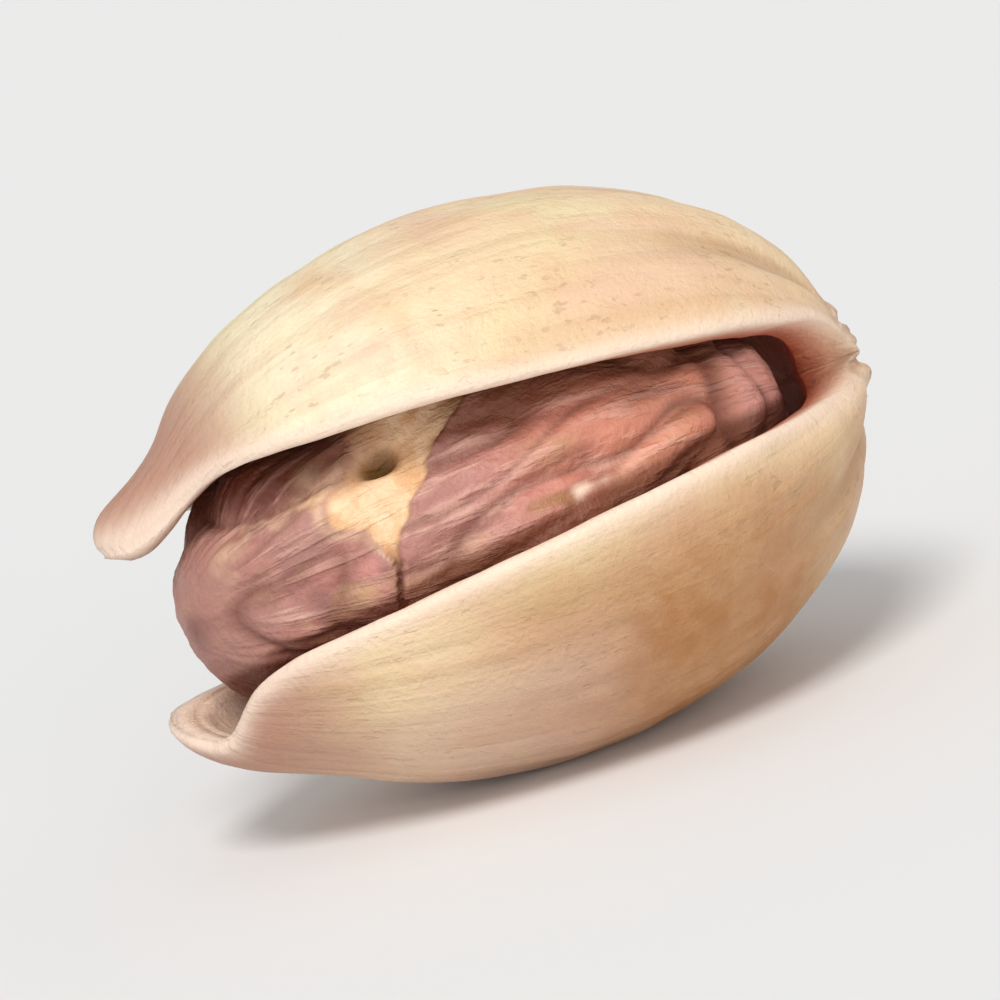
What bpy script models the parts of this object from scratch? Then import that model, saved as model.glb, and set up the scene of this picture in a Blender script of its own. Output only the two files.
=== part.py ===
"""One pistachio in its split shell, lying on the belly of its lower valve. Metres, +Z up.

The nut is shaped in its own frame and then laid down by an empty. In that frame +X runs from the tip
to the stem end, the suture lies in the plane Z = 0, and -Y is the side on which the split is widest.
"""

import math

import bmesh
import bpy
from mathutils import Euler, Vector, noise

# Shell, as it was before it split
SHELL_LENGTH = 0.0176
SHELL_WIDTH = 0.0124
SHELL_THICKNESS = 0.0120
SIDE_WALL = 0.00085
TIP_WALL = 0.0009
STEM_WALL = 0.0013
PLAN_EGG = 0.08
PLAN_SLIM = 0.04
PROFILE_EGG = 0.06

# Split: it ends where the suture crosses the hinge line, which runs askew across the stem end
HINGE_X = 0.0083
HINGE_SKEW = 0.23
HINGE_EASE = 0.0004
OPEN_ANGLE = math.radians(5.5)
RIM_RECESS = 0.0008
RIM_EASE = 0.00077
RIM_ROUNDING = 0.00022
RIM_ROUNDING_REACH = 0.0003
DIP_DEPTH = 0.0010
DIP_SPREAD = 0.24
DIP_TURN = -0.06

# Beaks in which the two valves end: the upper one narrow and hooked, the lower one broad like a spoon
BEAK_LENGTH = 0.0015
UPPER_BEAK_SPREAD = 0.26
UPPER_BEAK_RISE = 0.24
LOWER_BEAK_SPREAD = 0.55
LOWER_BEAK_RISE = 0.40
LOWER_BEAK_TURN = 0.34
UPPER_HOOK = 0.0017
LOWER_HOOK = -0.0005
HOOK_REACH = 0.0017

# Relief of the outer skin
RIB_HEIGHT = 0.00010
RIB_START = 0.15
RIB_FULL = 0.85
RIB_END = 0.25
RIB_WAVES = ((9, 1.0, 0.7), (14, 0.7, 2.1), (23, 0.4, 4.0))  # count, strength, phase
LUMP_HEIGHT = 0.00014
LUMP_SIZE = 0.0045
KEEL_HEIGHT = 0.00010
KEEL_SPREAD = 0.16
SCAR_RADIUS = 0.0012
SCAR_RING_WIDTH = 0.0005
SCAR_RING_HEIGHT = 0.00028
SCAR_PIT_RADIUS = 0.0007
SCAR_PIT_DEPTH = 0.00025
SCAR_ROUGHNESS = 0.5
SCAR_LUMP_SIZE = 0.0012

# Seed
KERNEL_LENGTH = 0.0158
KERNEL_WIDTH = 0.0099
KERNEL_THICKNESS = 0.0095
KERNEL_CENTRE = (-0.00095, -0.00003, -0.00042)
KERNEL_PITCH = math.radians(-1.2)
KERNEL_EGG = 0.01
KERNEL_SLIM = 0.08
WRINKLE_DEPTH = 0.00036
WRINKLE_LENGTH = 0.0052
WRINKLE_WIDTH = 0.0017
WRINKLE_LEVEL = 0.8
WRINKLE_END = 0.25
TEAR_X = -0.0034
TEAR_WIDTH = 0.0007
TEAR_DEPTH = 0.00028
TEAR_WANDER = 0.0008
TEAR_WANDER_SIZE = 0.0024

# How the nut lies: rolled so that the split looks up a little, and let down on to a small flat
NUT_ROLL = math.radians(-14.0)
FLAT_DEPTH = 0.00015

SHELL_SIDES = 64
SHELL_RINGS = 28
KERNEL_SIDES = 56
KERNEL_RINGS = 44
RING_CROWDING = 1.25
SIDE_CROWDING = 0.24


def ramp(start, end, value):
    """0 at start, 1 at end, and smooth between them."""
    t = min(1.0, max(0.0, (value - start) / (end - start)))
    return t * t * (3.0 - 2.0 * t)


def closed_skin(direction, half_length, half_width, half_thickness, middle_x=0.0):
    """The point of an egg-shaped skin that lies in this direction of the unit sphere."""
    along = direction.x
    plan = 1.0 + PLAN_EGG * along - PLAN_SLIM * along * along
    profile = 1.0 + PROFILE_EGG * along
    return Vector(
        (
            middle_x + half_length * along,
            half_width * plan * direction.y,
            half_thickness * profile * direction.z,
        )
    )


def outer_closed(direction):
    return closed_skin(direction, SHELL_LENGTH / 2, SHELL_WIDTH / 2, SHELL_THICKNESS / 2)


def inner_closed(direction):
    half_length = (SHELL_LENGTH - TIP_WALL - STEM_WALL) / 2
    return closed_skin(
        direction,
        half_length,
        SHELL_WIDTH / 2 - SIDE_WALL,
        SHELL_THICKNESS / 2 - SIDE_WALL,
        middle_x=(TIP_WALL - STEM_WALL) / 2,
    )


def reach_past_hinge(direction):
    """How far a point of the closed outer skin lies on the tip's side of the hinge line."""
    point = outer_closed(direction)
    return max(0.0, HINGE_X - HINGE_SKEW * point.y - point.x)


def rim_share(direction):
    """0 where the valves still hold together, rising to 1 a little past the hinge line."""
    return 1.0 - math.exp(-reach_past_hinge(direction) / RIM_EASE)


def from_tip_azimuth(direction):
    """The angle round the suture from the tip, rising on the side where the split is narrow."""
    return math.atan2(direction.y, -direction.x)


def rim_recess(direction, side):
    """How far the rim stands back from the suture. The lower one dips beside its beak."""
    recess = RIM_RECESS
    if side < 0:
        from_dip = (from_tip_azimuth(direction) - DIP_TURN) / DIP_SPREAD
        recess += DIP_DEPTH * math.exp(-(from_dip**2))
    return recess * rim_share(direction)


def above_rim(direction, side, half_thickness):
    """The direction moved away from the suture, so that the rim is cut back from it."""
    if side == 0:
        return direction
    lowest = math.asin(rim_recess(direction, side) / half_thickness)
    height = abs(math.asin(max(-1.0, min(1.0, direction.z))))
    raised = lowest + height * (1.0 - lowest / (math.pi / 2))
    azimuth = math.atan2(direction.y, direction.x)
    flat = math.cos(raised)
    return Vector((flat * math.cos(azimuth), flat * math.sin(azimuth), side * math.sin(raised)))


def rim_rounding(direction, side, point):
    """How far each skin draws in towards the middle of the wall as it comes to the rim."""
    from_rim = max(0.0, abs(point.z) - rim_recess(direction, side))
    left = 1.0 - min(1.0, from_rim / RIM_ROUNDING_REACH)
    return RIM_ROUNDING * rim_share(direction) * (1.0 - math.sqrt(1.0 - left * left))


def beak_weight(direction, side):
    """1 on the point of a valve, falling to 0 round it. The direction is the one from the rim up."""
    spread, rise, turn = UPPER_BEAK_SPREAD, UPPER_BEAK_RISE, 0.0
    if side < 0:
        spread, rise, turn = LOWER_BEAK_SPREAD, LOWER_BEAK_RISE, LOWER_BEAK_TURN
    sideways = (from_tip_azimuth(direction) - turn) / spread
    upward = math.asin(max(-1.0, min(1.0, direction.z))) / rise
    return math.exp(-(sideways**2) - upward**4)


def rib_height(direction):
    """Low ribs that run out from the stem end."""
    angle = math.atan2(direction.z, direction.y)
    wave = sum(strength * math.sin(count * angle + phase) for count, strength, phase in RIB_WAVES)
    off_axis = ramp(0.0, RIB_END, math.hypot(direction.y, direction.z))
    return RIB_HEIGHT * wave * ramp(RIB_START, RIB_FULL, direction.x) * off_axis


def scar_height(point):
    """The ring and the pit that the stalk left, round the stem end's axis."""
    if point.x < 0.0:
        return 0.0
    distance = math.hypot(point.y, point.z)
    roughness = 1.0 + SCAR_ROUGHNESS * noise.noise(point / SCAR_LUMP_SIZE)
    ring = SCAR_RING_HEIGHT * math.exp(-(((distance - SCAR_RADIUS) / SCAR_RING_WIDTH) ** 2))
    pit = SCAR_PIT_DEPTH * math.exp(-((distance / SCAR_PIT_RADIUS) ** 2))
    return roughness * ring - pit


def outer_relief(direction, point):
    """How far the outer skin stands proud of the plain egg, along its normal."""
    lumps = LUMP_HEIGHT * noise.noise(point / LUMP_SIZE)
    rise = math.asin(max(-1.0, min(1.0, direction.z)))
    keel = KEEL_HEIGHT * math.exp(-((rise / KEEL_SPREAD) ** 2))
    return rib_height(direction) + lumps + keel + scar_height(point)


def egg_normal(point, length, width, thickness):
    return Vector((point.x / length**2, point.y / width**2, point.z / thickness**2)).normalized()


def skin_normal(point):
    return egg_normal(point, SHELL_LENGTH, SHELL_WIDTH, SHELL_THICKNESS)


def opened(direction, point, side):
    """The point after its valve has swung open about the hinge line and its beak has curled back."""
    if side == 0:
        return point
    reach = reach_past_hinge(direction)
    eased = 1.0 - math.exp(-reach / HINGE_EASE)
    turn = OPEN_ANGLE * eased
    lift = OPEN_ANGLE * (reach - HINGE_EASE * eased)
    rise = abs(point.z)
    from_tip = (point - Vector((-SHELL_LENGTH / 2, 0.0, 0.0))).length
    hook = UPPER_HOOK if side > 0 else LOWER_HOOK
    curl = hook * math.exp(-((from_tip / HOOK_REACH) ** 2))
    return Vector(
        (
            point.x + rise * math.sin(turn),
            point.y,
            side * (lift + rise * math.cos(turn) - curl),
        )
    )


def shell_outer_point(direction, side):
    raised = above_rim(direction, side, SHELL_THICKNESS / 2)
    point = outer_closed(raised)
    height = outer_relief(raised, point) - rim_rounding(direction, side, point)
    point += skin_normal(point) * height
    point.x -= BEAK_LENGTH * beak_weight(direction, side)
    return opened(direction, point, side)


def shell_inner_point(direction, side):
    raised = above_rim(direction, side, SHELL_THICKNESS / 2 - SIDE_WALL)
    point = inner_closed(raised)
    point += skin_normal(point) * rim_rounding(direction, side, point)
    point.x -= BEAK_LENGTH * beak_weight(direction, side)
    return opened(direction, point, side)


def crowd_points(bm):
    """Moves a unit sphere's rings towards the rims, and its points along them towards tip and stem."""
    for vert in bm.verts:
        height = math.asin(max(-1.0, min(1.0, vert.co.z)))
        share = (abs(height) / (math.pi / 2)) ** RING_CROWDING
        moved = math.copysign(share * math.pi / 2, height)
        azimuth = math.atan2(vert.co.y, vert.co.x)
        azimuth -= SIDE_CROWDING * math.sin(2.0 * azimuth)
        flat = math.cos(moved)
        vert.co = (flat * math.cos(azimuth), flat * math.sin(azimuth), math.sin(moved))


def valve_side(vert):
    """+1 on the upper valve, -1 on the lower, 0 where the suture still holds."""
    if abs(vert.co.z) > 1e-6:
        return math.copysign(1, vert.co.z)
    heights = [face.calc_center_median().z for face in vert.link_faces]
    if min(heights) > 0.0:
        return 1
    if max(heights) < 0.0:
        return -1
    return 0


def lying_turn():
    return Euler((NUT_ROLL, 0.0, 0.0)).to_matrix()


def lying_place(points):
    """Where the nut's middle comes: over the origin, the belly a flat's depth below the surface."""
    turned = [lying_turn() @ point for point in points]
    low = [min(point[axis] for point in turned) for axis in range(3)]
    high = [max(point[axis] for point in turned) for axis in range(3)]
    return Vector((-(low[0] + high[0]) / 2, -(low[1] + high[1]) / 2, -low[2] - FLAT_DEPTH))


def cut_flat_spot(bm, height):
    """Takes off what would pass below the surface that the nut lies on."""
    down = lying_turn().inverted() @ Vector((0.0, 0.0, -1.0))
    bmesh.ops.bisect_plane(
        bm,
        geom=bm.verts[:] + bm.edges[:] + bm.faces[:],
        plane_co=down * height,
        plane_no=down,
        clear_outer=True,
    )
    edge_of_flat = [e for e in bm.edges if e.is_boundary]
    bmesh.ops.contextual_create(bm, geom=edge_of_flat)
    for edge in edge_of_flat:
        edge.smooth = False


def make_shell_mesh():
    """One sheet, split round its edge from the tip to the hinge line, given its wall and its shape.

    Also gives the place of the nut's middle when it lies on the surface.
    """
    bm = bmesh.new()
    bmesh.ops.create_uvsphere(bm, u_segments=SHELL_SIDES, v_segments=SHELL_RINGS, radius=1.0)
    crowd_points(bm)
    suture = [e for e in bm.edges if all(abs(v.co.z) < 1e-6 for v in e.verts)]
    free = [e for e in suture if reach_past_hinge((e.verts[0].co + e.verts[1].co) / 2) > 0.0]
    bmesh.ops.split_edges(bm, edges=free)
    home = bm.verts.layers.float_vector.new("home")
    side = bm.verts.layers.float.new("side")
    for vert in bm.verts:
        vert[home] = vert.co
        vert[side] = valve_side(vert)
    outer = set(bm.verts)
    bmesh.ops.solidify(bm, geom=bm.faces[:], thickness=0.1)
    for vert in bm.verts:
        skin_point = shell_outer_point if vert in outer else shell_inner_point
        vert.co = skin_point(vert[home].normalized(), vert[side])
    place = lying_place([v.co for v in bm.verts])
    cut_flat_spot(bm, place.z)
    mesh = bpy.data.meshes.new("shell")
    bm.to_mesh(mesh)
    bm.free()
    return mesh, place


def kernel_relief(point):
    """Wrinkles of the dried skin along the seed, and the tear across it."""
    stretched = Vector(
        (point.x / WRINKLE_LENGTH, point.y / WRINKLE_WIDTH, point.z / WRINKLE_WIDTH)
    )
    from_crease = 2.0 * abs(noise.noise(stretched))
    from_end = 1.0 - abs(point.x) / (KERNEL_LENGTH / 2)
    wrinkle = WRINKLE_DEPTH * ramp(0.0, WRINKLE_END, from_end) * (from_crease - WRINKLE_LEVEL)
    wander = TEAR_WANDER * noise.noise(Vector((0.0, point.y, point.z)) / TEAR_WANDER_SIZE)
    open_share = ramp(-KERNEL_THICKNESS / 2, KERNEL_THICKNESS / 4, point.z)
    from_tear = (point.x - TEAR_X - wander) / TEAR_WIDTH
    return wrinkle - TEAR_DEPTH * open_share * math.exp(-(from_tear**2))


def make_kernel_mesh():
    bm = bmesh.new()
    bmesh.ops.create_uvsphere(bm, u_segments=KERNEL_SIDES, v_segments=KERNEL_RINGS, radius=1.0)
    for vert in bm.verts:
        # The sphere's poles go to the seed's two ends.
        along, across, up = vert.co.z, vert.co.y, -vert.co.x
        full = 1.0 + KERNEL_EGG * along - KERNEL_SLIM * along * along
        point = Vector(
            (
                along * KERNEL_LENGTH / 2,
                across * full * KERNEL_WIDTH / 2,
                up * full * KERNEL_THICKNESS / 2,
            )
        )
        outward = egg_normal(point, KERNEL_LENGTH, KERNEL_WIDTH, KERNEL_THICKNESS)
        vert.co = point + outward * kernel_relief(point)
    mesh = bpy.data.meshes.new("kernel")
    bm.to_mesh(mesh)
    bm.free()
    return mesh


def make_material(name, colour, roughness):
    material = bpy.data.materials.new(name)
    material.use_nodes = True
    surface = material.node_tree.nodes["Principled BSDF"]
    surface.inputs["Base Color"].default_value = (*colour, 1.0)
    surface.inputs["Roughness"].default_value = roughness
    surface.inputs["Metallic"].default_value = 0.0
    return material


def add_piece(collection, name, mesh, material):
    piece = bpy.data.objects.new(name, mesh)
    collection.objects.link(piece)
    mesh.materials.append(material)
    mesh.shade_smooth()
    return piece


def main():
    for obj in list(bpy.data.objects):
        bpy.data.objects.remove(obj)
    nut = bpy.data.collections.new("pistachio")
    bpy.context.scene.collection.children.link(nut)

    shell_mesh, place = make_shell_mesh()
    lying_pose = bpy.data.objects.new("lying_pose", None)
    nut.objects.link(lying_pose)
    lying_pose.location = place
    lying_pose.rotation_euler = lying_turn().to_euler()

    shell = add_piece(nut, "shell", shell_mesh, make_material("shell", (0.78, 0.60, 0.40), 0.55))
    shell.parent = lying_pose

    kernel_material = make_material("kernel", (0.36, 0.16, 0.12), 0.6)
    kernel = add_piece(nut, "kernel", make_kernel_mesh(), kernel_material)
    kernel.parent = lying_pose
    kernel.location = KERNEL_CENTRE
    kernel.rotation_euler = (0.0, KERNEL_PITCH, 0.0)


main()
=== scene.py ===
import math

import bmesh
import bpy
from mathutils import Matrix, Vector, noise


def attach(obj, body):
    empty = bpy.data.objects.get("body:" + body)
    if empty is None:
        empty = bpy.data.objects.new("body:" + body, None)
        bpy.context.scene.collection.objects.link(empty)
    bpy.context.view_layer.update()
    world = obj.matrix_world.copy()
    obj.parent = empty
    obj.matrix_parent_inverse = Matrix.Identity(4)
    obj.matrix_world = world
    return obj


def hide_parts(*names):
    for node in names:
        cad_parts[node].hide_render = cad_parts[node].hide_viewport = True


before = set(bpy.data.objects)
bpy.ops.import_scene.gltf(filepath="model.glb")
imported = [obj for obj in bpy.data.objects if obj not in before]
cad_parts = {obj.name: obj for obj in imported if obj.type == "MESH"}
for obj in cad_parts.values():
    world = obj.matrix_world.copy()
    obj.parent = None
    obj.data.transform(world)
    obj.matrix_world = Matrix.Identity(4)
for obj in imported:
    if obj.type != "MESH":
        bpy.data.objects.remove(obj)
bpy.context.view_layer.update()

# The shell is the nut's hard woody wall, grown as one piece and a little under a millimetre thick.
# It has dried apart into two valves from its beaked tips back to the stem end, where they still hold
# together round a rough scar. It is cream above and tan below, the tan partly painted shade, with
# pinkish rims and tips, the rims' pale line partly a painted highlight.
SHELL_LENGTH = 0.0176
SHELL_WIDTH = 0.0124
SHELL_THICKNESS = 0.0120
SIDE_WALL = 0.00085
TIP_WALL = 0.0009
STEM_WALL = 0.0013
PLAN_EGG = 0.08
PLAN_SLIM = 0.04
PROFILE_EGG = 0.06

# The split runs up to the hinge line, which crosses the nut a little askew.
HINGE_X = 0.0083
HINGE_SKEW = 0.23
HINGE_EASE = 0.0004
OPEN_ANGLE = math.radians(5.5)
RIM_RECESS = 0.0008
RIM_EASE = 0.00077
RIM_ROUNDING = 0.00022
RIM_ROUNDING_REACH = 0.0003
RIM_WAVER = 0.00006
RIM_WAVES = 3.0
RIMS_APART = 5.0  # in the noise, so that each rim wavers in its own way

# The lower rim dips beside its beak, and both beaks curl. Spreads, rises and turns are in radians.
DIP_DEPTH = 0.0010
DIP_SPREAD = 0.24
DIP_TURN = -0.06
BEAK_LENGTH = 0.0015
UPPER_BEAK_SPREAD = 0.26
UPPER_BEAK_RISE = 0.24
LOWER_BEAK_SPREAD = 0.55
LOWER_BEAK_RISE = 0.40
LOWER_BEAK_TURN = 0.34
UPPER_HOOK = 0.0017
LOWER_HOOK = -0.0005
HOOK_REACH = 0.0017

# The outer skin's relief.
RIB_HEIGHT = 0.00010
RIB_START = 0.15
RIB_FULL = 0.85
RIB_END = 0.25
RIB_SETS = ((9, 1.0, 0.7), (14, 0.7, 2.1), (23, 0.4, 4.0))  # count, strength, phase
FINE_RIB_HEIGHT = 0.00002
FINE_RIB_WIDTH = 0.0004
FINE_RIB_LENGTH = 20 * FINE_RIB_WIDTH
LUMP_HEIGHT = 0.00014
LUMP_SIZE = 0.0045
SMALL_LUMP_HEIGHT = 0.000035
SMALL_LUMP_SIZE = 0.0011
KEEL_HEIGHT = 0.00010
KEEL_SPREAD = 0.16

# The stalk left a crumbly ring with a pit in it.
SCAR_RADIUS = 0.0012
SCAR_RING_WIDTH = 0.0005
SCAR_RING_HEIGHT = 0.00028
SCAR_PIT_RADIUS = 0.0007
SCAR_PIT_DEPTH = 0.00025
SCAR_ROUGHNESS = 0.5
SCAR_LUMP_SIZE = 0.0012
SCAR_CRUMB_SHARE = 0.35
SCAR_CRUMB_SIZE = 0.35 * SCAR_LUMP_SIZE
SCAR_TINT_REACH = 0.0021
RIM_TINT_REACH = 0.0004

# The nut lies rolled a little about its length, so that the wide side of the split looks up. Its
# middle is where the solids have it, which puts their box over the origin and their flat on the floor.
NUT_ROLL = math.radians(-14.0)
NUT_MIDDLE = Vector((0.0005012, 0.0000071, 0.0065695))

# The mesh is finest at the rims, the tips and the stem end.
SHELL_SIDES = 288
SHELL_RINGS = 124
RING_CROWDING = 1.25
SIDE_CROWDING = 0.24
ON_SUTURE = 1e-6
PLAIN_WALL = 0.1  # of the unit sphere, before the skins get their own places
MM = 1000.0  # the patterns below are laid out in millimetres


def ramp(start, end, value):
    """0 at start, 1 at end, and smooth between them."""
    share = min(1.0, max(0.0, (value - start) / (end - start)))
    return share * share * (3.0 - 2.0 * share)


def rough_noise(place, octaves, falloff=1.0, step=2.0):
    """Noise from about -1 to 1, with this many sizes of lump on it, each finer by the step."""
    return noise.fractal(place, falloff, step, octaves)


def egg_normal(point, length, width, thickness):
    return Vector((point.x / length**2, point.y / width**2, point.z / thickness**2)).normalized()


def closed_skin(direction, half_length, half_width, half_thickness, middle_x=0.0):
    """The point of an egg-shaped skin that lies in this direction of the unit sphere."""
    along = direction.x
    plan = 1.0 + PLAN_EGG * along - PLAN_SLIM * along * along
    profile = 1.0 + PROFILE_EGG * along
    return Vector(
        (
            middle_x + half_length * along,
            half_width * plan * direction.y,
            half_thickness * profile * direction.z,
        )
    )


def outer_closed(direction):
    return closed_skin(direction, SHELL_LENGTH / 2, SHELL_WIDTH / 2, SHELL_THICKNESS / 2)


def inner_closed(direction):
    return closed_skin(
        direction,
        (SHELL_LENGTH - TIP_WALL - STEM_WALL) / 2,
        SHELL_WIDTH / 2 - SIDE_WALL,
        SHELL_THICKNESS / 2 - SIDE_WALL,
        middle_x=(TIP_WALL - STEM_WALL) / 2,
    )


def reach_past_hinge(direction):
    """How far a point of the closed outer skin lies on the tip's side of the hinge line."""
    point = outer_closed(direction)
    return max(0.0, HINGE_X - HINGE_SKEW * point.y - point.x)


def rim_share(direction):
    """0 where the valves still hold together, rising to 1 a little past the hinge line."""
    return 1.0 - math.exp(-reach_past_hinge(direction) / RIM_EASE)


def from_tip_azimuth(direction):
    """The angle round the suture from the tip, rising on the side where the split is narrow."""
    return math.atan2(direction.y, -direction.x)


def rim_recess(direction, side):
    """How far the rim stands back from the suture, wavering a little as a dry split does.

    The lower rim dips beside its beak.
    """
    azimuth = from_tip_azimuth(direction)
    round_rim = Vector((RIM_WAVES * math.cos(azimuth), RIM_WAVES * math.sin(azimuth), RIMS_APART * side))
    recess = RIM_RECESS + RIM_WAVER * rough_noise(round_rim, 3)
    if side < 0:
        recess += DIP_DEPTH * math.exp(-(((azimuth - DIP_TURN) / DIP_SPREAD) ** 2))
    return recess * rim_share(direction)


def above_rim(direction, side, half_thickness):
    """The direction moved away from the suture, so that the rim is cut back from it."""
    if side == 0:
        return direction
    lowest = math.asin(rim_recess(direction, side) / half_thickness)
    height = abs(math.asin(max(-1.0, min(1.0, direction.z))))
    raised = lowest + height * (1.0 - lowest / (math.pi / 2))
    azimuth = math.atan2(direction.y, direction.x)
    flat = math.cos(raised)
    return Vector((flat * math.cos(azimuth), flat * math.sin(azimuth), side * math.sin(raised)))


def from_rim(direction, side, point):
    return max(0.0, abs(point.z) - rim_recess(direction, side))


def rim_rounding(direction, side, point):
    """How far each skin draws in towards the middle of the wall as it comes to the rim."""
    left = 1.0 - min(1.0, from_rim(direction, side, point) / RIM_ROUNDING_REACH)
    return RIM_ROUNDING * rim_share(direction) * (1.0 - math.sqrt(1.0 - left * left))


def beak_weight(direction, side):
    """1 on the point of a valve, falling to 0 round it. The direction is the one from the rim up."""
    spread, rise, turn = UPPER_BEAK_SPREAD, UPPER_BEAK_RISE, 0.0
    if side < 0:
        spread, rise, turn = LOWER_BEAK_SPREAD, LOWER_BEAK_RISE, LOWER_BEAK_TURN
    sideways = (from_tip_azimuth(direction) - turn) / spread
    upward = math.asin(max(-1.0, min(1.0, direction.z))) / rise
    return math.exp(-(sideways**2) - upward**4)


def rib_wave(direction):
    """The ribs that run out from the stem end, from about -1 in a furrow to 1 on a rib."""
    angle = math.atan2(direction.z, direction.y)
    wave = sum(strength * math.sin(count * angle + phase) for count, strength, phase in RIB_SETS)
    off_axis = ramp(0.0, RIB_END, math.hypot(direction.y, direction.z))
    return wave * ramp(RIB_START, RIB_FULL, direction.x) * off_axis


def drawn_out(point, radius):
    """The point moved out to one radius, so that a pattern laid on it runs along the nut to its tips."""
    outward = Vector((0.0, point.y, point.z)).normalized() * radius
    return Vector((point.x, outward.y, outward.z))


def fine_ribs(point):
    grain = drawn_out(point, SHELL_WIDTH / 2) / FINE_RIB_WIDTH
    grain.x *= FINE_RIB_WIDTH / FINE_RIB_LENGTH
    return FINE_RIB_HEIGHT * noise.noise(grain)


def scar_height(point):
    """The ring and the pit that the stalk left, round the stem end's axis."""
    if point.x < 0.0:
        return 0.0
    distance = math.hypot(point.y, point.z)
    roughness = 1.0 + SCAR_ROUGHNESS * noise.noise(point / SCAR_LUMP_SIZE)
    crumbs = SCAR_CRUMB_SHARE * rough_noise(point / SCAR_CRUMB_SIZE, 4, falloff=0.9, step=2.1)
    ring = SCAR_RING_HEIGHT * math.exp(-(((distance - SCAR_RADIUS) / SCAR_RING_WIDTH) ** 2))
    pit = SCAR_PIT_DEPTH * math.exp(-((distance / SCAR_PIT_RADIUS) ** 2))
    return (roughness + crumbs) * ring - pit


def near_scar(point):
    """1 on the scar at the stem end, falling to 0 round it."""
    if point.x < 0.0:
        return 0.0
    return math.exp(-((math.hypot(point.y, point.z) / SCAR_TINT_REACH) ** 4))


def outer_relief(direction, point):
    """How far the outer skin stands proud of the plain egg, along its normal."""
    lumps = LUMP_HEIGHT * noise.noise(point / LUMP_SIZE)
    small_lumps = SMALL_LUMP_HEIGHT * noise.noise(point / SMALL_LUMP_SIZE)
    rise = math.asin(max(-1.0, min(1.0, direction.z)))
    keel = KEEL_HEIGHT * math.exp(-((rise / KEEL_SPREAD) ** 2))
    ribs = RIB_HEIGHT * rib_wave(direction) + fine_ribs(point)
    return ribs + lumps + small_lumps + keel + scar_height(point)


def skin_normal(point):
    return egg_normal(point, SHELL_LENGTH, SHELL_WIDTH, SHELL_THICKNESS)


def opened(direction, point, side):
    """The point after its valve has swung open about the hinge line and its beak has curled back."""
    if side == 0:
        return point
    reach = reach_past_hinge(direction)
    eased = 1.0 - math.exp(-reach / HINGE_EASE)
    turn = OPEN_ANGLE * eased
    lift = OPEN_ANGLE * (reach - HINGE_EASE * eased)
    rise = abs(point.z)
    from_tip = (point - Vector((-SHELL_LENGTH / 2, 0.0, 0.0))).length
    hook = UPPER_HOOK if side > 0 else LOWER_HOOK
    curl = hook * math.exp(-((from_tip / HOOK_REACH) ** 2))
    return Vector(
        (
            point.x + rise * math.sin(turn),
            point.y,
            side * (lift + rise * math.cos(turn) - curl),
        )
    )


def valve_side(vert):
    """+1 on the upper valve, -1 on the lower, 0 where the suture still holds."""
    if abs(vert.co.z) > ON_SUTURE:
        return math.copysign(1, vert.co.z)
    heights = [face.calc_center_median().z for face in vert.link_faces]
    if min(heights) > 0.0:
        return 1
    if max(heights) < 0.0:
        return -1
    return 0


def crowd_points(bm):
    """Moves a unit sphere's rings towards the rims, and its points along them towards tip and stem."""
    for vert in bm.verts:
        height = math.asin(max(-1.0, min(1.0, vert.co.z)))
        share = (abs(height) / (math.pi / 2)) ** RING_CROWDING
        moved = math.copysign(share * math.pi / 2, height)
        azimuth = math.atan2(vert.co.y, vert.co.x)
        azimuth -= SIDE_CROWDING * math.sin(2.0 * azimuth)
        flat = math.cos(moved)
        vert.co = (flat * math.cos(azimuth), flat * math.sin(azimuth), math.sin(moved))


def lay_down(bm):
    """Turns the finished nut over to the pose in which it lies."""
    turn = Matrix.Rotation(NUT_ROLL, 4, "X")
    bm.transform(Matrix.Translation(NUT_MIDDLE) @ turn)


def cut_flat_spot(bm):
    """Takes the belly off level with the surface that the nut lies on."""
    bmesh.ops.bisect_plane(
        bm,
        geom=bm.verts[:] + bm.edges[:] + bm.faces[:],
        plane_co=(0.0, 0.0, 0.0),
        plane_no=(0.0, 0.0, -1.0),
        clear_outer=True,
    )
    edge_of_flat = [edge for edge in bm.edges if edge.is_boundary]
    bmesh.ops.contextual_create(bm, geom=edge_of_flat)
    for edge in edge_of_flat:
        edge.smooth = False


def make_object(name, bm, material):
    """Turns a bmesh into a smooth-shaded object with this material."""
    mesh = bpy.data.meshes.new(name)
    bm.to_mesh(mesh)
    bm.free()
    mesh.shade_smooth()
    mesh.materials.append(material)
    made = bpy.data.objects.new(name, mesh)
    bpy.context.scene.collection.objects.link(made)
    return made


shell_bm = bmesh.new()
bmesh.ops.create_uvsphere(shell_bm, u_segments=SHELL_SIDES, v_segments=SHELL_RINGS, radius=1.0)
crowd_points(shell_bm)
suture = [edge for edge in shell_bm.edges if all(abs(vert.co.z) < ON_SUTURE for vert in edge.verts)]
split = [edge for edge in suture if reach_past_hinge((edge.verts[0].co + edge.verts[1].co) / 2) > 0.0]
bmesh.ops.split_edges(shell_bm, edges=split)
home = shell_bm.verts.layers.float_vector.new("home")
valve = shell_bm.verts.layers.float.new("valve")
grown = shell_bm.verts.layers.float_vector.new("grown")
grain = shell_bm.verts.layers.float_vector.new("grain")
zones = shell_bm.verts.layers.float_vector.new("zones")
rib = shell_bm.verts.layers.float.new("rib")
for vert in shell_bm.verts:
    vert[home] = vert.co
    vert[valve] = valve_side(vert)
outer_skin = set(shell_bm.verts)
bmesh.ops.solidify(shell_bm, geom=shell_bm.faces[:], thickness=PLAIN_WALL)
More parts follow.
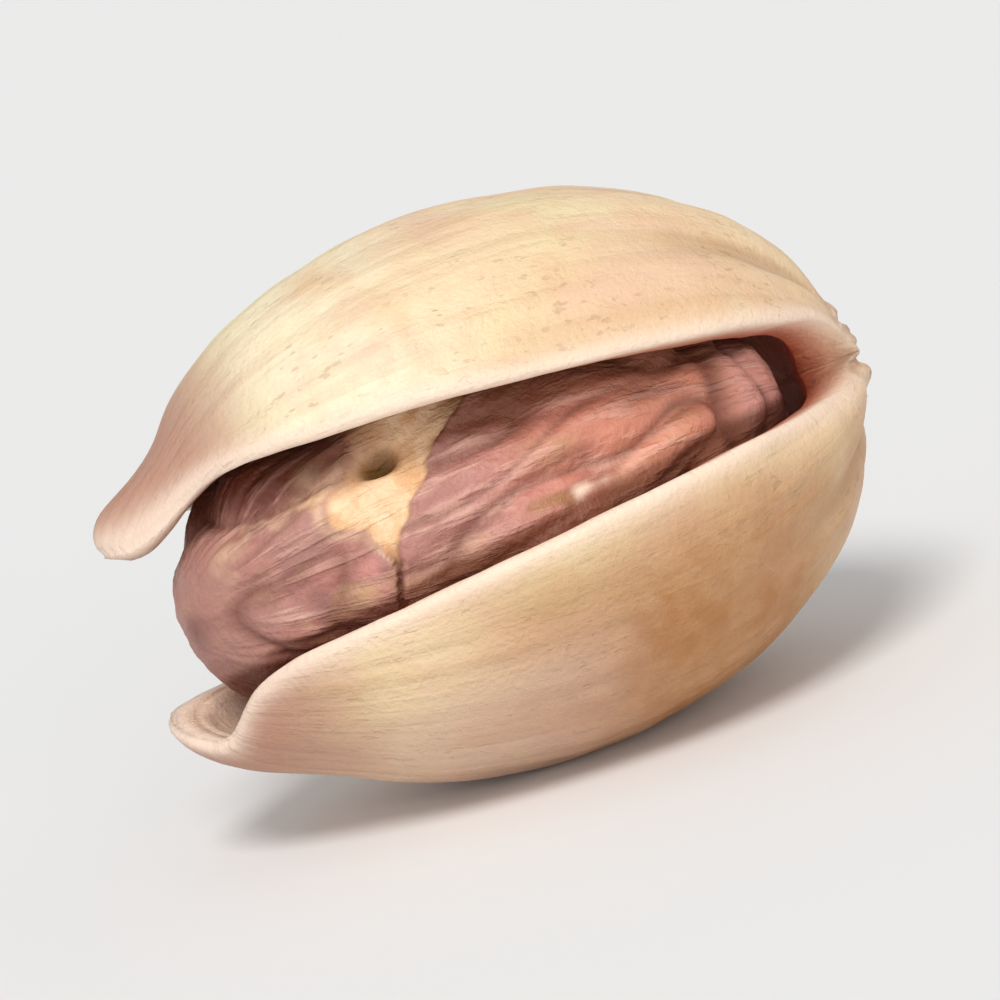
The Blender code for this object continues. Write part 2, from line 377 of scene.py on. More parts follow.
for vert in shell_bm.verts:
    direction = vert[home].normalized()
    side = vert[valve]
    outside = vert in outer_skin
    half_thickness = SHELL_THICKNESS / 2 - (0.0 if outside else SIDE_WALL)
    raised = above_rim(direction, side, half_thickness)
    if outside:
        point = outer_closed(raised)
        height = outer_relief(raised, point) - rim_rounding(direction, side, point)
        scar = near_scar(point)
        vert[rib] = rib_wave(raised)
    else:
        point = inner_closed(raised)
        height = rim_rounding(direction, side, point)
        scar = 0.0
    rim = rim_share(direction) * math.exp(-((from_rim(direction, side, point) / RIM_TINT_REACH) ** 2))
    vert[grown] = point * MM
    vert[grain] = drawn_out(point, SHELL_WIDTH / 2) * MM
    vert[zones] = (rim, scar, 0.0 if outside else 1.0)
    point += skin_normal(point) * height
    point.x -= BEAK_LENGTH * beak_weight(direction, side)
    vert.co = opened(direction, point, side)
lay_down(shell_bm)
cut_flat_spot(shell_bm)


def start_finish(name):
    """A new material, its nodes and its one Principled surface."""
    material = bpy.data.materials.new(name)
    material.use_nodes = True
    return material, material.node_tree, material.node_tree.nodes["Principled BSDF"]


def feed(tree, value, socket):
    """Links a socket's output to a socket, or sets the socket to a plain number or colour."""
    if isinstance(value, bpy.types.NodeSocket):
        tree.links.new(value, socket)
    elif isinstance(value, tuple) and len(value) == 3 and socket.type == "RGBA":
        socket.default_value = (*value, 1.0)
    else:
        socket.default_value = value


def layer(tree, name, output="Vector"):
    """What the mesh holds at each point under this name."""
    node = tree.nodes.new("ShaderNodeAttribute")
    node.attribute_name = name
    return node.outputs[output]


def parts_of(tree, vector):
    """The three numbers of a vector."""
    node = tree.nodes.new("ShaderNodeSeparateXYZ")
    feed(tree, vector, node.inputs["Vector"])
    return node.outputs["X"], node.outputs["Y"], node.outputs["Z"]


CLOUD_ROUGHNESS = 0.55  # how much each finer size of cloud counts


def patches(tree, place, size, low, high, along=1.0, shift=(0.0, 0.0, 0.0), detail=3.0, warp=0.0):
    """Cloudy patches about this many millimetres across, from 0 below low to 1 above high.

    They are drawn out along the nut where along is under 1.
    """
    laid = tree.nodes.new("ShaderNodeMapping")
    feed(tree, place, laid.inputs["Vector"])
    laid.inputs["Scale"].default_value = (along, 1.0, 1.0)
    laid.inputs["Location"].default_value = shift
    cloud = tree.nodes.new("ShaderNodeTexNoise")
    tree.links.new(laid.outputs["Vector"], cloud.inputs["Vector"])
    cloud.inputs["Scale"].default_value = 1.0 / size
    cloud.inputs["Detail"].default_value = detail
    cloud.inputs["Roughness"].default_value = CLOUD_ROUGHNESS
    cloud.inputs["Distortion"].default_value = warp
    return between(tree, cloud.outputs["Fac"], low, high)


def between(tree, value, low, high, start=0.0, end=1.0):
    """start where the value is below low, end where it is above high."""
    node = tree.nodes.new("ShaderNodeMapRange")
    node.interpolation_type = "SMOOTHSTEP"
    feed(tree, value, node.inputs["Value"])
    node.inputs["From Min"].default_value = low
    node.inputs["From Max"].default_value = high
    node.inputs["To Min"].default_value = start
    node.inputs["To Max"].default_value = end
    return node.outputs["Result"]


def both(tree, first, second):
    """Where two shares hold at once."""
    node = tree.nodes.new("ShaderNodeMath")
    node.operation = "MULTIPLY"
    feed(tree, first, node.inputs[0])
    feed(tree, second, node.inputs[1])
    return node.outputs["Value"]


def at_strength(tree, share, strength, base=0.0):
    """The share at this strength, on top of the base."""
    node = tree.nodes.new("ShaderNodeMath")
    node.operation = "MULTIPLY_ADD"
    feed(tree, share, node.inputs[0])
    feed(tree, strength, node.inputs[1])
    feed(tree, base, node.inputs[2])
    return node.outputs["Value"]


def tint(tree, share, under, over):
    """The colour under, turned into the colour over by the share."""
    node = tree.nodes.new("ShaderNodeMix")
    node.data_type = "RGBA"
    feed(tree, share, node.inputs["Factor"])
    colours = [socket for socket in node.inputs if socket.type == "RGBA"]
    feed(tree, under, colours[0])
    feed(tree, over, colours[1])
    return next(socket for socket in node.outputs if socket.type == "RGBA")


def wash(tree, under, over, share, strength=1.0):
    """The colour under, with a wash of the colour over it at this strength where the share is 1."""
    return tint(tree, at_strength(tree, share, strength), under, over)


def relief(tree, surface, height, depth):
    """Raises the surface by the height, in shares of this depth in metres."""
    node = tree.nodes.new("ShaderNodeBump")
    node.inputs["Distance"].default_value = depth
    feed(tree, height, node.inputs["Height"])
    tree.links.new(node.outputs["Normal"], surface.inputs["Normal"])


CREAM = (0.86, 0.67, 0.42)
PALE_CREAM = (0.90, 0.80, 0.57)
TAN = (0.42, 0.18, 0.052)
WARM_TAN = (0.72, 0.44, 0.25)
SHELL_PINK = (0.80, 0.52, 0.39)
TIP_PINK = (0.43, 0.20, 0.14)
BELLY_REFLECTION_MAUVE = (0.60, 0.40, 0.36)
RIM_PALE_AND_HIGHLIGHT = (0.92, 0.73, 0.59)
GREENISH = (0.80, 0.74, 0.42)
FURROW_SHADE_BROWN = (0.46, 0.24, 0.11)
FLECK_BROWN = (0.36, 0.20, 0.08)
SCAR_BROWN = (0.50, 0.29, 0.20)
SCAR_PALE = (0.84, 0.65, 0.50)
INSIDE_TAN = (0.80, 0.53, 0.38)
INSIDE_PALE = (0.88, 0.67, 0.53)
INSIDE_RED_AND_SHADE = (0.60, 0.17, 0.09)

shell_finish, tree, surface = start_finish("nutshell")
grown_place = layer(tree, "grown")
grain_place = layer(tree, "grain")
rim_zone, scar_zone, inside_zone = parts_of(tree, layer(tree, "zones"))
along_x, _, height_up = parts_of(tree, grown_place)

# Cream, clouded with warmer patches, with painted shade as a warmer band just above the upper rim,
# and paler on the upper valve towards the tip.
mottle = patches(tree, grown_place, size=3.2, low=0.38, high=0.64, detail=4.0, warp=0.5)
colour = wash(tree, CREAM, WARM_TAN, mottle, 0.20)
warm = patches(tree, grown_place, size=2.2, low=0.44, high=0.66, along=0.7, shift=(7.0, 3.0, 1.0))
colour = wash(tree, colour, WARM_TAN, warm, 0.35)
# Painted shade: a warmer, darker band just above the upper rim.
above_split_shade = both(tree, between(tree, height_up, 0.2, 0.9), between(tree, height_up, 4.2, 1.0))
colour = wash(tree, colour, WARM_TAN, above_split_shade, 0.60)
pale = patches(tree, grown_place, size=2.8, low=0.30, high=0.56, shift=(2.0, 8.0, -6.0))
pale = both(tree, pale, between(tree, along_x, -0.5, -4.0))
pale = both(tree, pale, between(tree, height_up, 0.0, 1.2))
colour = wash(tree, colour, PALE_CREAM, pale, 0.85)

# A faint green and a faint pink cast come and go.
green = patches(tree, grown_place, size=3.4, low=0.48, high=0.68, shift=(-11.0, 5.0, 9.0))
colour = wash(tree, colour, GREENISH, green, 0.45)
pink = patches(tree, grown_place, size=2.6, low=0.50, high=0.68, shift=(21.0, -4.0, 2.0))
colour = wash(tree, colour, SHELL_PINK, pink, 0.45)

# The lower valve is browner, partly its own colour and partly painted shade on the side away from
# the light, least at its tip, and has a painted greyish mauve reflection on its underside behind the tip.
low_side = between(tree, height_up, 0.1, -3.0)
off_tip = between(tree, along_x, -6.5, 0.5, start=0.15)
# The browning is partly painted shade on the lower side.
browned_and_shaded = both(tree, low_side, off_tip)
browned_and_shaded = both(tree, browned_and_shaded, between(tree, along_x, 6.5, 3.5, start=0.6))
colour = tint(tree, both(tree, browned_and_shaded, at_strength(tree, mottle, 0.16, base=0.84)), colour, TAN)
# Painted reflection: a greyish mauve on the underside.
belly_reflection = both(tree, between(tree, height_up, -2.0, -4.0), between(tree, along_x, 1.0, -2.5))
colour = wash(tree, colour, BELLY_REFLECTION_MAUVE, belly_reflection, 0.45)

# Streaks run along the grain, the tips are pink, and painted shade darkens the grooves between the ribs.
streaks = patches(tree, grain_place, size=0.55, low=0.40, high=0.70, along=0.10, detail=5.0)
colour = wash(tree, colour, TAN, streaks, 0.18)
clouding = patches(tree, grown_place, size=0.7, low=0.40, high=0.66, warp=0.3)
colour = wash(tree, colour, WARM_TAN, clouding, 0.16)
colour = wash(tree, colour, TIP_PINK, between(tree, along_x, -5.6, -8.1), 0.90)
# Painted shade in the grooves between the ribs.
furrow_shade = between(tree, layer(tree, "rib", "Fac"), 0.1, -1.3)
colour = wash(tree, colour, FURROW_SHADE_BROWN, furrow_shade, 0.52)

# Small brown flecks lie in some places only.
flecks = patches(tree, grain_place, size=0.21, low=0.60, high=0.69, along=0.55, detail=2.0)
flecked = patches(tree, grown_place, size=2.4, low=0.40, high=0.60, shift=(3.0, 17.0, 5.0))
flecks = both(tree, flecks, flecked)
colour = wash(tree, colour, FLECK_BROWN, flecks, 0.30)

# The rims carry a pale line, partly their own pink and partly a painted highlight, and the scar has
# colours of its own. The inside of the wall is its own tan, redder towards the stem end, partly its own
# colour and partly painted shade deep in the split.
colour = wash(tree, colour, RIM_PALE_AND_HIGHLIGHT, rim_zone, 0.85)
scar_grain = patches(tree, grown_place, size=0.5, low=0.35, high=0.68, detail=5.0)
scar_colour = tint(tree, scar_grain, SCAR_BROWN, SCAR_PALE)
colour = wash(tree, colour, scar_colour, scar_zone, 0.85)
inside_grain = patches(tree, grain_place, size=1.4, low=0.35, high=0.70, along=0.3)
inside_colour = tint(tree, inside_grain, INSIDE_TAN, INSIDE_PALE)
# Redder towards the stem end, partly painted shade deep in the split.
inside_colour = tint(tree, between(tree, along_x, -3.0, 5.5), inside_colour, INSIDE_RED_AND_SHADE)
colour = tint(tree, inside_zone, colour, inside_colour)
feed(tree, colour, surface.inputs["Base Color"])
feed(tree, between(tree, mottle, 0.0, 1.0, start=0.42, end=0.56), surface.inputs["Roughness"])

# The grain stands a little proud, the flecks are sunk, and the scar is rough.
fine_grain = patches(tree, grown_place, size=0.14, low=0.25, high=0.75, detail=4.0)
height = at_strength(tree, clouding, 0.4)
height = at_strength(tree, fine_grain, 0.4, height)
height = at_strength(tree, streaks, 0.6, height)
height = at_strength(tree, flecks, -0.3, height)
height = at_strength(tree, both(tree, scar_grain, scar_zone), 1.6, height)
relief(tree, surface, height, depth=0.00004)

shell = make_object("nutshell", shell_bm, shell_finish)
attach(shell, "root")
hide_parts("shell")

# The seed lies loose in the shell. It is firm green-yellow flesh in a thin dry skin, which has
# shrunk into creases along it and has torn across where the seed bends, so that the flesh shows.
SEED_LENGTH = 0.0158
SEED_WIDTH = 0.0099
SEED_THICKNESS = 0.0095
SEED_MIDDLE = Vector((-0.00095, -0.00003, -0.00042))
SEED_PITCH = math.radians(-1.2)
SEED_EGG = 0.01
SEED_SLIM = 0.08

# Creases and wrinkles.
CREASE_DEPTH = 0.00036
CREASE_LENGTH = 0.0052
CREASE_WIDTH = 0.0017
CREASE_LEVEL = 0.8
CREASE_END = 0.14  # a share of the seed's half length, as is the next
FINE_END = 0.22
FINE_CREASE_DEPTH = 0.00010
FINE_CREASE_LENGTH = 0.0034
FINE_CREASE_WIDTH = 0.00085
FINE_CREASE_TWIST = 60.0
FINE_CREASE_SHARPNESS = 3.0
FINE_CREASE_STOP = 0.0040
CRUMPLE_HEIGHT = 0.00004
CRUMPLE_WIDTH = 0.0005
CRUMPLE_LENGTH = 0.00125

# The tear's edge curves over towards the stem end as it rises from its foot.
TEAR_FOOT_X = -0.00375
TEAR_FOOT_Z = -0.00145
TEAR_LEAN = 190.0
TEAR_HEIGHT = 0.0042
TEAR_NARROW = 0.00014
TEAR_WIDE = 0.0024
TEAR_OPENS = -0.0008
TEAR_OPEN = 0.0021
TEAR_WIDTH_RAGGED = 0.5
TEAR_WIDTH_RAGS_PER_METRE = 900.0
TEAR_END = (1.1, 0.85)  # in widths of the tear, as is where its edge frays
TEAR_EDGE = 0.00009
TEAR_RAGGED = 0.00022
TEAR_RAGS_PER_METRE = 1500.0
TEAR_DEPTH = 0.00030
TEAR_SHALLOWS = 0.6
TEAR_LIP = 0.00007
TEAR_LIP_REACH = 0.0003
TEAR_SHADOW = 0.00012
FRAY_AT = 1.2
FRAY_REACH = 0.20
TIP_SIDE_REACH = 0.0006

# A hollow in the flesh, a peeled sliver of skin, and a patch that clings to the tip.
HOLE = Vector((-0.0032, -0.00398, 0.00184))
HOLE_SIZE = 0.00032
HOLE_STRETCH = 1.8
HOLE_DEPTH = 0.00045
HOLE_RAGGED = 0.4
HOLE_RAGS_PER_METRE = 1000.0
PEEL_X = 0.0002
PEEL_Z = -0.0006
PEEL_LENGTH = 0.00085
PEEL_WIDTH = 0.00015
PEEL_DEPTH = 0.00012
PEEL_RAGGED = 0.8
PEEL_RAGS_PER_METRE = 2000.0
PATCH_X = -0.00515
PATCH_LENGTH = 0.0021
PATCH_HEIGHT = 0.00165
PATCH_EDGE = 0.075
PATCH_LIP = 0.00005
PATCH_RAGGED = 0.15
PATCH_RAGS_PER_METRE = 1600.0
PATCH_LOWER_END = (-0.0004, 0.0010)
PATCH_TIP_END = (-0.0078, -0.0058)

# A groove sets off the nub at the stem end.
NUB_X = 0.0054
NUB_GROOVE = 0.00028
NUB_DEPTH = 0.00015

# Painted shade darkens the skin in its creases and close by the rims.
# How far the painted shadow under the upper rim and over the lower rim reaches.
SHADOW_ABOVE = (0.56, 0.90)  # shares of the split's half height
SHADOW_BELOW = (0.00060, 0.00024)
CREASE_SHADE_BELOW = 0.3
FINE_SHADE_BELOW = 0.6
FINE_SHADE = 0.7

SEED_SIDES = 300
SEED_RINGS = 300


def plain_skin(direction):
    """The seed's skin before it dried, in this direction of the unit sphere.

    The sphere's poles go to the seed's two ends.
    """
    along, across, up = direction.z, direction.y, -direction.x
    full = 1.0 + SEED_EGG * along - SEED_SLIM * along * along
    return Vector(
        (
            along * SEED_LENGTH / 2,
            across * full * SEED_WIDTH / 2,
            up * full * SEED_THICKNESS / 2,
        )
    )


def clear_of_ends(point, reach):
    """0 at the seed's two ends, rising to 1 within this share of its half length."""
    return ramp(0.0, reach, 1.0 - abs(point.x) / (SEED_LENGTH / 2))


def coarse_crease(point):
    """0 in one of the large creases along the seed, about 1 well away from them."""
    stretched = Vector((point.x / CREASE_LENGTH, point.y / CREASE_WIDTH, point.z / CREASE_WIDTH))
    return 2.0 * abs(noise.noise(stretched))


def fine_crease(point):
    """0 in one of the small creases, which run to the seed's ends a little askew, and 1 between them."""
    askew = Matrix.Rotation(FINE_CREASE_TWIST * point.x, 3, "X") @ drawn_out(point, SEED_WIDTH / 2)
    width = FINE_CREASE_WIDTH
    stretched = Vector((askew.x / FINE_CREASE_LENGTH, askew.y / width, askew.z / width))
    return min(1.0, FINE_CREASE_SHARPNESS * abs(noise.noise(stretched)))


def crumple(point, run_share):
    """The small wrinkles of dry skin. They run along the seed, and any way at its ends."""
    running = drawn_out(point, SEED_WIDTH / 2) / CRUMPLE_WIDTH
    running.x *= CRUMPLE_WIDTH / CRUMPLE_LENGTH
    wrinkles = run_share * rough_noise(running, 4, falloff=0.8, step=2.2)
    if run_share < 1.0:
        any_way = rough_noise(point / CRUMPLE_WIDTH, 4, falloff=0.8, step=2.2)
        wrinkles += (1.0 - run_share) * any_way
    return CRUMPLE_HEIGHT * wrinkles


def rim_shadowed(point):
    """1 where a rim of the shell lies close over the skin and casts painted shadow on it, 0 in the open
    split.
    """
    half_split = RIM_RECESS + math.tan(OPEN_ANGLE) * (HINGE_X - SEED_MIDDLE.x - point.x)
    height = point.z + SEED_MIDDLE.z
    above = ramp(half_split * SHADOW_ABOVE[0], half_split * SHADOW_ABOVE[1], height)
    below = ramp(SHADOW_BELOW[0] - half_split, SHADOW_BELOW[1] - half_split, height)
    return max(above, below)


def peeled_sliver(point):
    """1 in the sliver by the lower rim where the skin has peeled."""
    if point.y > 0.0:
        return 0.0
    ragged = 1.0 + PEEL_RAGGED * noise.noise(point * PEEL_RAGS_PER_METRE)
    along, up = (point.x - PEEL_X) / PEEL_LENGTH, (point.z - PEEL_Z) / PEEL_WIDTH
    return math.exp(-((ragged * math.hypot(along, up)) ** 4))


def patch_edge(point):
    """1 on the pale upper edge of the round patch of skin that still clings to the tip."""
    if point.y > 0.0:
        return 0.0
    reach = math.hypot((point.x - PATCH_X) / PATCH_LENGTH, point.z / PATCH_HEIGHT)
    reach += PATCH_RAGGED * rough_noise(point * PATCH_RAGS_PER_METRE, 3)
    fading = ramp(*PATCH_LOWER_END, point.z) * ramp(*PATCH_TIP_END, point.x)
    return fading * math.exp(-(((reach - 1.0) / PATCH_EDGE) ** 2))


def past_tear_edge(point):
    """How far a point lies on the tip's side of the skin's torn edge, which leans and is ragged."""
    rise = min(TEAR_HEIGHT, max(0.0, point.z - TEAR_FOOT_Z))
    round_seed = Vector((0.0, point.y, point.z))
    ragged = TEAR_RAGGED * rough_noise(round_seed * TEAR_RAGS_PER_METRE, 4)
    return TEAR_FOOT_X + TEAR_LEAN * rise * rise + ragged - point.x


def tear_width(point):
    """A hair's breadth at the foot, opening as the tear rises."""
    ragged = 1.0 + TEAR_WIDTH_RAGGED * noise.noise(point * TEAR_WIDTH_RAGS_PER_METRE)
    return TEAR_NARROW + TEAR_WIDE * ramp(TEAR_OPENS, TEAR_OPEN, point.z) * ragged


def hollow(point):
    """1 in the small hollow in the flesh."""
    ragged = 1.0 + HOLE_RAGGED * rough_noise(point * HOLE_RAGS_PER_METRE, 3)
    off_hole = point - HOLE
    off_hole.x /= HOLE_STRETCH
    return math.exp(-((ragged * off_hole.length / HOLE_SIZE) ** 4))


seed_bm = bmesh.new()
bmesh.ops.create_uvsphere(seed_bm, u_segments=SEED_SIDES, v_segments=SEED_RINGS, radius=1.0)
seed_place = seed_bm.verts.layers.float_vector.new("seed_place")
seed_grain = seed_bm.verts.layers.float_vector.new("seed_grain")
marks = seed_bm.verts.layers.float_vector.new("marks")
spots = seed_bm.verts.layers.float_vector.new("spots")
frayed = seed_bm.verts.layers.float.new("frayed")
for vert in seed_bm.verts:
    point = plain_skin(vert.co)
    fine_share = clear_of_ends(point, FINE_END)
    coarse = coarse_crease(point)
    fine = 1.0 - (1.0 - fine_crease(point)) * fine_share * ramp(NUB_X, FINE_CREASE_STOP, point.x)
    past = past_tear_edge(point)
    across_tear = past / tear_width(point)
    upright = ramp(-SEED_THICKNESS / 2, TEAR_FOOT_Z, point.z)
    torn = upright * ramp(-TEAR_EDGE, TEAR_EDGE, past) * ramp(*TEAR_END, across_tear)
    lip = 0.0
    fringe = 0.0
    if past < 0.0:
        lip = upright * math.exp(-((past / TEAR_LIP_REACH) ** 2))
    if past > 0.0:
        fringe = upright * math.exp(-(((across_tear - FRAY_AT) / FRAY_REACH) ** 2))
    # Painted shadow along the torn edge.
    shadow = upright * math.exp(-(((past - TEAR_EDGE) / TEAR_SHADOW) ** 2))
    groove = math.exp(-(((point.x - NUB_X) / NUB_GROOVE) ** 2))
    hole = hollow(point)
    peel = peeled_sliver(point)
    clinging = patch_edge(point) * (1.0 - torn)

    height = CREASE_DEPTH * clear_of_ends(point, CREASE_END) * (coarse - CREASE_LEVEL)
    height += crumple(point, fine_share)
    height += FINE_CREASE_DEPTH * (fine - 1.0) * (1.0 - torn)
    height -= TEAR_DEPTH * torn * (1.0 - TEAR_SHALLOWS * min(1.0, max(0.0, across_tear)))
    height -= HOLE_DEPTH * hole + NUB_DEPTH * groove + PEEL_DEPTH * peel
    height += PATCH_LIP * clinging + TEAR_LIP * lip
    # Painted shade in the creases.
    crease = max(1.0 - coarse / CREASE_SHADE_BELOW, FINE_SHADE * (1.0 - fine / FINE_SHADE_BELOW))

    vert[seed_place] = point * MM
    vert[seed_grain] = drawn_out(point, SEED_WIDTH / 2) * MM
    vert[marks] = (torn, max(0.0, crease, groove, shadow), ramp(0.0, TIP_SIDE_REACH, past))
    vert[spots] = (hole, rim_shadowed(point), peel)
    vert[frayed] = max(fringe, clinging)
    vert.co = point + egg_normal(point, SEED_LENGTH, SEED_WIDTH, SEED_THICKNESS) * height
seed_bm.transform(Matrix.Translation(SEED_MIDDLE) @ Matrix.Rotation(SEED_PITCH, 4, "Y"))
lay_down(seed_bm)

SKIN_ROSE = (0.62, 0.26, 0.20)
SKIN_RED = (0.46, 0.16, 0.11)
SKIN_MAUVE = (0.42, 0.20, 0.175)
SKIN_PINK = (0.60, 0.26, 0.22)
SKIN_PALE = (0.90, 0.54, 0.43)
END_ROSE = (0.38, 0.185, 0.15)
SKIN_ORANGE = (0.90, 0.38, 0.25)
SKIN_TAN = (0.56, 0.33, 0.18)
NUB_PINK_AND_LIGHT = (1.0, 0.49, 0.41)
SHADE_BROWN = (0.165, 0.045, 0.015)
SHADE_MAROON = (0.105, 0.018, 0.005)
SHADE_DARK = (0.15, 0.045, 0.028)
FLESH_BEIGE = (0.80, 0.47, 0.24)
FLESH_PALE = (0.92, 0.64, 0.40)
FLESH_OLIVE_AND_SHADE = (0.16, 0.085, 0.004)
FLESH_SHADE_BROWN = (0.42, 0.19, 0.07)
PEEL_TAN = (0.40, 0.19, 0.095)
PEEL_GLINT = (0.95, 0.74, 0.58)

seed_finish, tree, surface = start_finish("seed_skin")
place = layer(tree, "seed_place")
grain_place = layer(tree, "seed_grain")
torn_zone, crease_shade_zone, tip_zone = parts_of(tree, layer(tree, "marks"))
hole_zone, rim_shadow_zone, peeled_zone = parts_of(tree, layer(tree, "spots"))
along_x, _, height_up = parts_of(tree, place)

# The skin is rose and red in clouds, mauve towards the tip and orange towards the stem end.
clouds = patches(tree, place, size=2.0, low=0.38, high=0.62, detail=4.0, warp=0.5)
colour = tint(tree, clouds, SKIN_ROSE, SKIN_RED)
colour = wash(tree, colour, SKIN_MAUVE, between(tree, along_x, 1.0, -2.5), 0.80)
colour = wash(tree, colour, SKIN_ORANGE, between(tree, along_x, -1.0, 4.5), 0.80)
tan_clouds = patches(tree, place, size=1.5, low=0.48, high=0.68, along=0.7, shift=(4.0, 9.0, -3.0))
colour = wash(tree, colour, SKIN_TAN, tan_clouds, 0.55)

# On the tip's side of the tear it is mauve, pink and tan, with painted shadow under the rims' ends and
# at its lower foot.
tip_skin = tint(tree, patches(tree, place, size=1.7, low=0.42, high=0.60), SKIN_MAUVE, SKIN_PINK)
tip_skin = tint(tree, patches(tree, place, size=1.1, low=0.52, high=0.66), tip_skin, SKIN_TAN)
colour = wash(tree, colour, tip_skin, tip_zone, 0.80)
# Painted shadow under the upper rim's end, over the tip.
under_rim_shadow = both(tree, between(tree, along_x, -3.6, -4.8), between(tree, height_up, 1.4, 2.1))
shadow_colour = tint(tree, between(tree, along_x, -2.8, -4.0), SHADE_BROWN, SHADE_MAROON)
colour = wash(tree, colour, shadow_colour, under_rim_shadow, 0.90)
# Painted shade at the foot of the tip, by the lower rim.
foot = both(tree, between(tree, along_x, -4.8, -6.4), between(tree, height_up, -0.9, -1.9))
colour = wash(tree, colour, SHADE_BROWN, foot, 0.80)

# Both ends have their own pinks. The nub's is pushed to full brightness, partly its own pink and partly
# painted light where the lamps hardly reach.
colour = wash(tree, colour, END_ROSE, between(tree, along_x, -5.6, -7.2), 0.80)
# The nub's pink is pushed bright, partly as painted light.
colour = wash(tree, colour, NUB_PINK_AND_LIGHT, between(tree, along_x, 5.4, 6.2), 0.95)

# Pale lines and flakes run along the seed, but not over its tip, partly the skin's own streaks and
# partly painted highlights on its ridges. Painted shade darkens the creases, the nub's groove and the
# tear's edge.
# Partly the skin's own pale streaks, partly painted highlights along the ridges.
lines = patches(tree, grain_place, size=0.34, low=0.48, high=0.66, along=0.18, detail=4.0)
off_end = between(tree, along_x, -7.2, -5.8)
lines = both(tree, lines, off_end)
colour = wash(tree, colour, SKIN_PALE, lines, 0.45)
flakes = patches(tree, grain_place, size=1.0, low=0.56, high=0.68, along=0.5, shift=(8.0, 1.0, 5.0))
flakes = both(tree, flakes, off_end)
colour = wash(tree, colour, SKIN_PALE, flakes, 0.35)
colour = wash(tree, colour, FLESH_PALE, layer(tree, "frayed", "Fac"), 0.54)
# Painted shade in the creases, the nub's groove and along the tear's edge.
colour = wash(tree, colour, SHADE_DARK, crease_shade_zone, 0.66)

# The sliver where the skin has peeled is tan, with a painted glint at its far end, and painted shadow
# darkens all close by the rims.
# Painted glint at the sliver's far end.
peel_and_glint_colour = tint(tree, between(tree, along_x, 0.50, 0.85), PEEL_TAN, PEEL_GLINT)
colour = tint(tree, peeled_zone, colour, peel_and_glint_colour)
# Painted shadow close by the rims.
colour = wash(tree, colour, shadow_colour, rim_shadow_zone, 0.82)

# The flesh in the tear is pale, with painted shade by the rim and at the tear's narrow bottom, and dark
# olive in its hollow, partly the flesh's own green and partly painted shade.
flesh = tint(tree, patches(tree, place, size=0.9, low=0.40, high=0.60, detail=4.0), FLESH_BEIGE, FLESH_PALE)
# Painted shade on the flesh by the upper rim.
flesh_top_shade = both(tree, between(tree, along_x, -3.3, -4.0), between(tree, height_up, 1.2, 1.8))
flesh = wash(tree, flesh, FLESH_SHADE_BROWN, flesh_top_shade, 0.75)
# The hollow is dark olive, partly the flesh's green and partly painted shade.
flesh = tint(tree, hole_zone, flesh, FLESH_OLIVE_AND_SHADE)
# Painted shade at the tear's narrow bottom.
flesh = tint(tree, between(tree, height_up, 0.0, -0.9), flesh, SHADE_DARK)
flesh_shade = both(tree, rim_shadow_zone, between(tree, along_x, -2.0, -3.4, start=0.1, end=0.6))
flesh = tint(tree, flesh_shade, flesh, SHADE_BROWN)
colour = tint(tree, torn_zone, colour, flesh)
feed(tree, colour, surface.inputs["Base Color"])
feed(tree, between(tree, clouds, 0.0, 1.0, start=0.38, end=0.52), surface.inputs["Roughness"])

# Fine crinkles and the pale lines stand a little proud.
crinkle = patches(tree, place, size=0.22, low=0.25, high=0.75, detail=4.0)
relief(tree, surface, at_strength(tree, lines, 0.6, at_strength(tree, crinkle, 0.5)), depth=0.00006)
surface.inputs["Specular IOR Level"].default_value = 0.35
surface.inputs["Subsurface Weight"].default_value = 0.05
surface.inputs["Subsurface Radius"].default_value = (1.0, 0.45, 0.3)
surface.inputs["Subsurface Scale"].default_value = 0.0005

seed = make_object("seed", seed_bm, seed_finish)
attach(seed, "root")
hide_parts("kernel")

# The floor is a plain matt white sheet. It lies level under the nut and runs far out past the
# picture on every side.
FLOOR_SIDE = 30.0
FLOOR_WHITE = (0.82, 0.82, 0.82, 1.0)

floor_bm = bmesh.new()
bmesh.ops.create_grid(floor_bm, x_segments=1, y_segments=1, size=FLOOR_SIDE / 2)
floor_finish, _, surface = start_finish("white_floor")
surface.inputs["Base Color"].default_value = FLOOR_WHITE
surface.inputs["Roughness"].default_value = 0.8
surface.inputs["Specular IOR Level"].default_value = 0.1
floor = make_object("floor", floor_bm, floor_finish)

# Bright, soft studio light: a broad key from high on the left, a weaker fill that reaches into the
# split, and a pale sky that is brightest at the horizon, so that the floor runs on into it. Nothing
# falls off with distance, so the floor stays one even white.
LAMP_WHITE = (1.0, 0.98, 0.95)
SKY_WHITE = (0.97, 0.98, 1.0, 1.0)
SKY_AT_HORIZON = 0.88
SKY_OVERHEAD = 0.50
SKY_DIMS_BY = 0.40  # the sine of the height at which the sky has its overhead strength


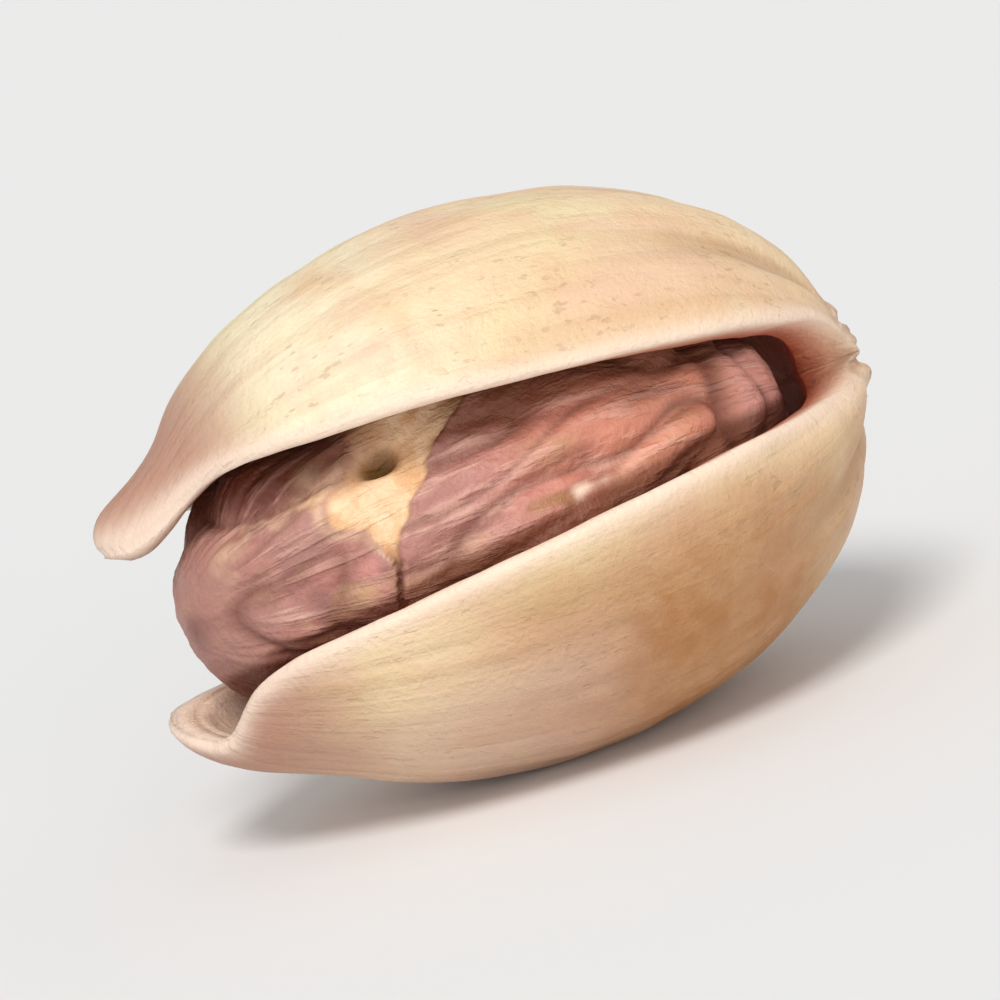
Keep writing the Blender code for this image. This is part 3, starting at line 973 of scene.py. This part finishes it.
def backwards(azimuth, elevation):
    """The way from the nut to something seen at this azimuth and elevation, in degrees."""
    azimuth, elevation = math.radians(azimuth), math.radians(elevation)
    level = math.cos(elevation)
    return Vector((math.sin(azimuth) * level, -math.cos(azimuth) * level, math.sin(elevation)))


def hang_sun(name, azimuth, elevation, strength, spread):
    """A lamp too far off to fall away with distance. More spread gives softer shadows."""
    lamp = bpy.data.lights.new(name, "SUN")
    lamp.energy = strength
    lamp.angle = math.radians(spread)
    lamp.color = LAMP_WHITE
    sun = bpy.data.objects.new(name, lamp)
    bpy.context.scene.collection.objects.link(sun)
    sun.rotation_euler = (-backwards(azimuth, elevation)).to_track_quat("-Z", "Y").to_euler()


hang_sun("key", azimuth=-28.0, elevation=54.0, strength=1.85, spread=22.0)
hang_sun("fill", azimuth=-4.0, elevation=12.0, strength=0.72, spread=40.0)
world = bpy.data.worlds.new("studio")
bpy.context.scene.world = world
world.use_nodes = True
sky = world.node_tree
_, _, upward = parts_of(sky, sky.nodes.new("ShaderNodeTexCoord").outputs["Generated"])
brightness = between(sky, upward, 0.0, SKY_DIMS_BY, start=SKY_AT_HORIZON, end=SKY_OVERHEAD)
sky.nodes["Background"].inputs["Color"].default_value = SKY_WHITE
feed(sky, brightness, sky.nodes["Background"].inputs["Strength"])
bpy.context.scene.view_settings.view_transform = "Standard"

# The camera looks at the split from the tips' side, a little above the rims, and is turned about its
# own axis so that the nut rises to the right.
NUT_HEART = Vector((0.0, 0.0, 0.0062))
CAMERA_AZIMUTH = -17.0
CAMERA_ELEVATION = 11.0
CAMERA_TURN = math.radians(-16.7)
CAMERA_DISTANCE = 0.090

camera_data = bpy.data.cameras.new("camera")
camera_data.lens = 135.0
camera_data.clip_start = 0.001
camera_data.clip_end = 20.0
camera = bpy.data.objects.new("camera", camera_data)
bpy.context.scene.collection.objects.link(camera)
away = backwards(CAMERA_AZIMUTH, CAMERA_ELEVATION)
aim = (-away).to_track_quat("-Z", "Y").to_matrix().to_4x4()
turn = Matrix.Rotation(CAMERA_TURN, 4, "Z")
camera.matrix_world = Matrix.Translation(NUT_HEART + away * CAMERA_DISTANCE) @ aim @ turn
bpy.context.scene.camera = camera
